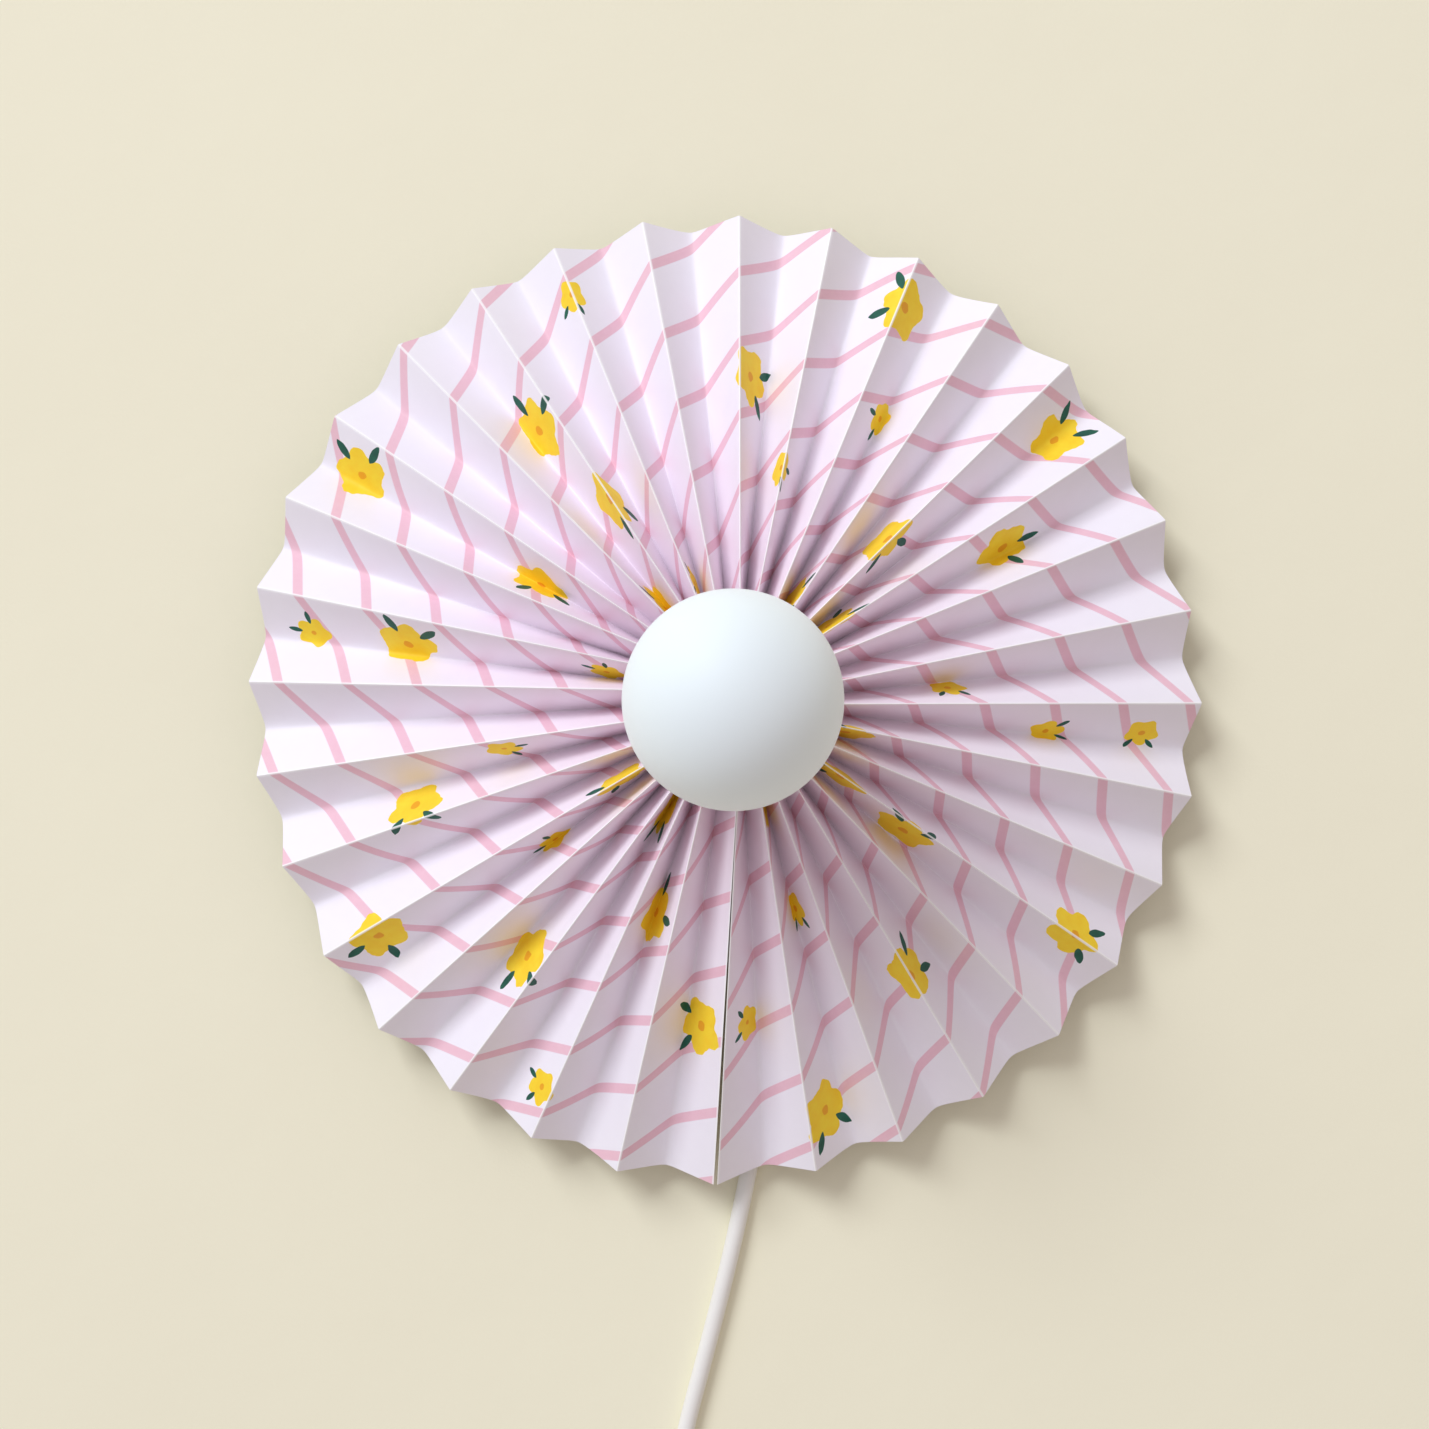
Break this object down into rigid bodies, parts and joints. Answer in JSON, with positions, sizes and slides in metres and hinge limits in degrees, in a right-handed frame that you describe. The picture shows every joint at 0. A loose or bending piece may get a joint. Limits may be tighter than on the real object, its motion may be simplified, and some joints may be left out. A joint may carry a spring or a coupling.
{
  "type": "pleated paper wall lamp",
  "caption": "Plug-in wall lamp: a round accordion-pleated paper shade clamped on a lampholder, a bare opal globe bulb in its middle, and a mains cord with a rocker switch.",
  "frame": {"origin": "centre of the wall plate's rear face", "axes": "+Z from the wall into the room, +Y up the wall, the cord leaves towards -Y"},
  "size_m": [0.3906, 0.7723, 0.1768],
  "materials": {
    "printed_paper": "matt laminated paper, printed",
    "thread": "twisted polyester thread",
    "opal_globe": "opal, matt",
    "lamp_white": "moulded, semi-gloss",
    "cover_white": "moulded, matt",
    "plate_steel": "white powder coat",
    "zinc_steel": "bright zinc plated",
    "brass": "plain",
    "nickel_cap": "rolled, bright",
    "black_insulator": "vitrite, gloss",
    "steatite": "unglazed steatite",
    "board": "white solder mask",
    "cord_white": "PVC, satin",
    "core_brown": "PVC",
    "core_blue": "PVC",
    "sleeve_white": "moulded, satin",
    "tie_white": "woven hook-and-loop"
  },
  "bodies": {
    "lamp": {"wall_plate": "plate_steel", "base_cover": "cover_white", "cover_screws": "zinc_steel", "threaded_nipple": "zinc_steel", "nipple_nut": "zinc_steel", "cord_grip": "cover_white", "grip_screws": "zinc_steel", "base_strain_relief": "sleeve_white", "holder_cap": "lamp_white", "holder_body": "lamp_white", "contact_block": "steatite", "screw_shell": "brass", "centre_contact": "brass", "terminals": "brass", "terminal_screws": "zinc_steel", "live_core": "core_brown", "neutral_core": "core_blue", "rear_washer": "plate_steel", "pleated_shade": "printed_paper", "gathering_thread": "thread", "lamp_cord": "cord_white", "switch_base": "lamp_white", "switch_top": "lamp_white", "switch_screws": "zinc_steel", "switch_relief_lamp_side": "sleeve_white", "switch_relief_plug_side": "sleeve_white", "switch_cord": "cord_white", "cord_coil": "cord_white", "coil_tie": "tie_white", "plug_cord": "cord_white", "plug_body": "lamp_white", "plug_pins": "brass", "plug_strain_relief": "sleeve_white"},
    "bulb_tip": {"bulb_tip_contact": "nickel_cap"},
    "bulb": {"bulb_globe": "opal_globe", "bulb_housing": "lamp_white", "bulb_screw_cap": "nickel_cap", "bulb_insulator": "black_insulator", "led_board": "board"},
    "washer": {"front_washer": "plate_steel"},
    "ring": {"shade_ring": "lamp_white"},
    "rocker": {"switch_rocker": "lamp_white"}
  },
  "joints": [
    {"name": "bulb_lift", "type": "slide", "parent": "lamp", "child": "bulb_tip", "axis": [0, 0, 1], "range_m": [0, 0.01815]},
    {"name": "bulb_turn", "type": "hinge", "parent": "bulb_tip", "child": "bulb", "pos_m": [0, 0, 0.137], "axis": [0, 0, 1], "range_deg": [0, 1800]},
    {"name": "ring_lift", "type": "slide", "parent": "lamp", "child": "washer", "axis": [0, 0, 1], "range_m": [0, 0.01]},
    {"name": "ring_turn", "type": "hinge", "parent": "washer", "child": "ring", "pos_m": [0, 0, 0.084], "axis": [0, 0, 1], "range_deg": [0, 1440]},
    {"name": "rocker_tilt", "type": "hinge", "parent": "lamp", "child": "rocker", "pos_m": [-0.022, -0.399, 0.008], "axis": [1, 0, 0], "range_deg": [0, 14]}
  ],
  "couplings": [
    {"joint": "bulb_turn", "follows": "bulb_lift", "rad_per_m": 1731.4},
    {"joint": "ring_turn", "follows": "ring_lift", "rad_per_m": 2513.3}
  ]
}
